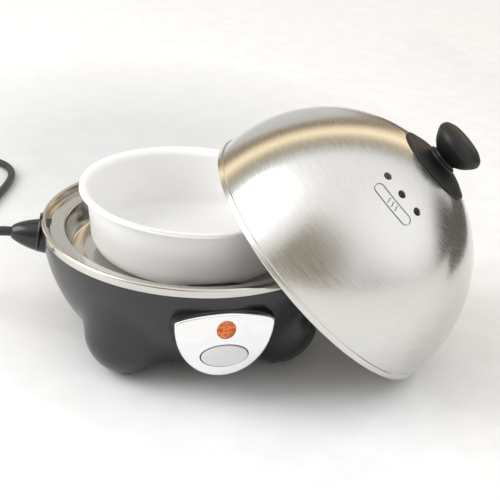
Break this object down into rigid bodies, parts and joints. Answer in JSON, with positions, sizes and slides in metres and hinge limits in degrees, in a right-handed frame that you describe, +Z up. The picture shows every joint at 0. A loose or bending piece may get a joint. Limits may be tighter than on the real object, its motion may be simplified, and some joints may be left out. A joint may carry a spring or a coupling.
{
  "type": "egg cooker",
  "caption": "Round electric egg cooker: black footed base with steam well and chrome panel, white poaching bowl, leaning domed steel lid with knob.",
  "frame": {"origin": "centre of the base, on the table", "axes": "+Z up, the control panel faces -Y, the lid leans at +X"},
  "size_m": [0.3758, 0.4287, 0.1573],
  "materials": {
    "black_shell": "satin black moulding",
    "black_matte": "matte",
    "zinc": "zinc plated",
    "rubber": "soft",
    "polished_steel": "polished",
    "brushed_steel": "fine circular brushing",
    "aluminium": "cast",
    "element_sheath": "heat tinted",
    "brass_tin": "tinned",
    "bakelite": "matte",
    "ceramic": "matte",
    "chrome": "mirror",
    "orange_lens": "clear tinted",
    "lamp_glass": "clear",
    "white_plastic": "matte",
    "silver_button": "satin metallised",
    "wire_sleeve": "matte",
    "gloss_black": "gloss",
    "cord_black": "satin",
    "tie_black": "matte",
    "white_bowl": "gloss white",
    "knob_black": "satin"
  },
  "bodies": {
    "base": {"base_housing": "black_shell", "bottom_cover": "black_matte", "cover_screws": "zinc", "foot_pads": "rubber", "heating_dish": "polished_steel", "dish_screws": "zinc", "element_plate": "aluminium", "heating_element": "element_sheath", "element_terminals": "brass_tin", "heat_shield": "zinc", "shield_screws": "zinc", "thermostat": "bakelite", "thermal_fuse": "ceramic", "sensor_bracket": "zinc", "panel_bezel": "chrome", "lamp_lens": "orange_lens", "neon_lamp": "lamp_glass", "lamp_holder": "white_plastic", "button_spring": "zinc", "switch_body": "bakelite", "switch_bracket": "zinc", "bracket_screws": "zinc", "terminal_block": "white_plastic", "internal_wires": "wire_sleeve", "cord_clamp": "bakelite", "clamp_screws": "zinc", "cord_hood": "gloss_black", "inner_cord": "cord_black", "power_cord": "cord_black", "cord_coil": "cord_black", "cord_tie": "tie_black", "plug_body": "cord_black", "plug_pins": "zinc"},
    "bowl": {"poaching_bowl": "white_bowl"},
    "lid": {"lid_shell": "brushed_steel", "knob_skirt": "knob_black", "knob_cap": "knob_black", "knob_screw": "zinc", "knob_washer": "zinc"},
    "button": {"push_button": "silver_button"}
  },
  "joints": [
    {"name": "lid_lift", "type": "slide", "parent": "base", "child": "lid", "axis": [0.6271, -0.2258, 0.7455], "range_m": [0, 0.16]},
    {"name": "bowl_lift", "type": "slide", "parent": "base", "child": "bowl", "axis": [0, 0, 1], "range_m": [0, 0.12]},
    {"name": "power_button", "type": "slide", "parent": "base", "child": "button", "axis": [0, 1, 0], "range_m": [0, 0.002], "stiffness_N_per_m": 300}
  ],
  "couplings": [
    {"joint": "bowl_lift", "follows": "lid_lift", "ratio": 0.75}
  ]
}
